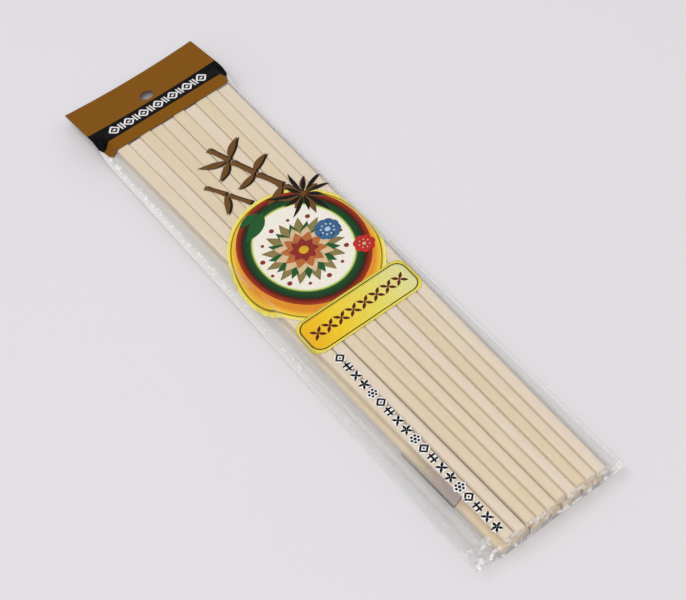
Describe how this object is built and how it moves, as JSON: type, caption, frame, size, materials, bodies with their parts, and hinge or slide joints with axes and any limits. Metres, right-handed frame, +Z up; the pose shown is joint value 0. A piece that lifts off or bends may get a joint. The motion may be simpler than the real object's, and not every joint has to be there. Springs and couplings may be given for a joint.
{
  "type": "pack of melamine chopsticks",
  "caption": "Flat clear film bag holding pairs of long tapered chopsticks in two layers, closed by a printed header with a peg hole.",
  "frame": {"origin": "on the table, under the middle of the whole pack", "axes": "+Y from the chopstick tips to the header, +Z up off the table, +X across the pack to the right when it is read with the header at the top"},
  "size_m": [0.0724, 0.3154, 0.013],
  "materials": {
    "melamine": "cream melamine, satin from the mould",
    "clear_film": "clear glossy polypropylene film, lightly creased",
    "printed_film": "glossy film printed bronze brown with a black band"
  },
  "bodies": {
    "root": {"film_bag": "clear_film", "printed_header": "printed_film", "chopstick_under_01": "melamine", "chopstick_under_02": "melamine", "chopstick_under_03": "melamine", "chopstick_under_04": "melamine", "chopstick_under_05": "melamine", "chopstick_under_06": "melamine", "chopstick_under_07": "melamine", "chopstick_under_08": "melamine", "chopstick_under_09": "melamine", "chopstick_under_10": "melamine", "chopstick_top_01": "melamine", "chopstick_top_02": "melamine", "chopstick_top_03": "melamine", "chopstick_top_04": "melamine", "chopstick_top_05": "melamine", "chopstick_top_06": "melamine", "chopstick_top_07": "melamine", "chopstick_top_08": "melamine", "chopstick_top_09": "melamine", "chopstick_top_10": "melamine"}
  },
  "joints": []
}
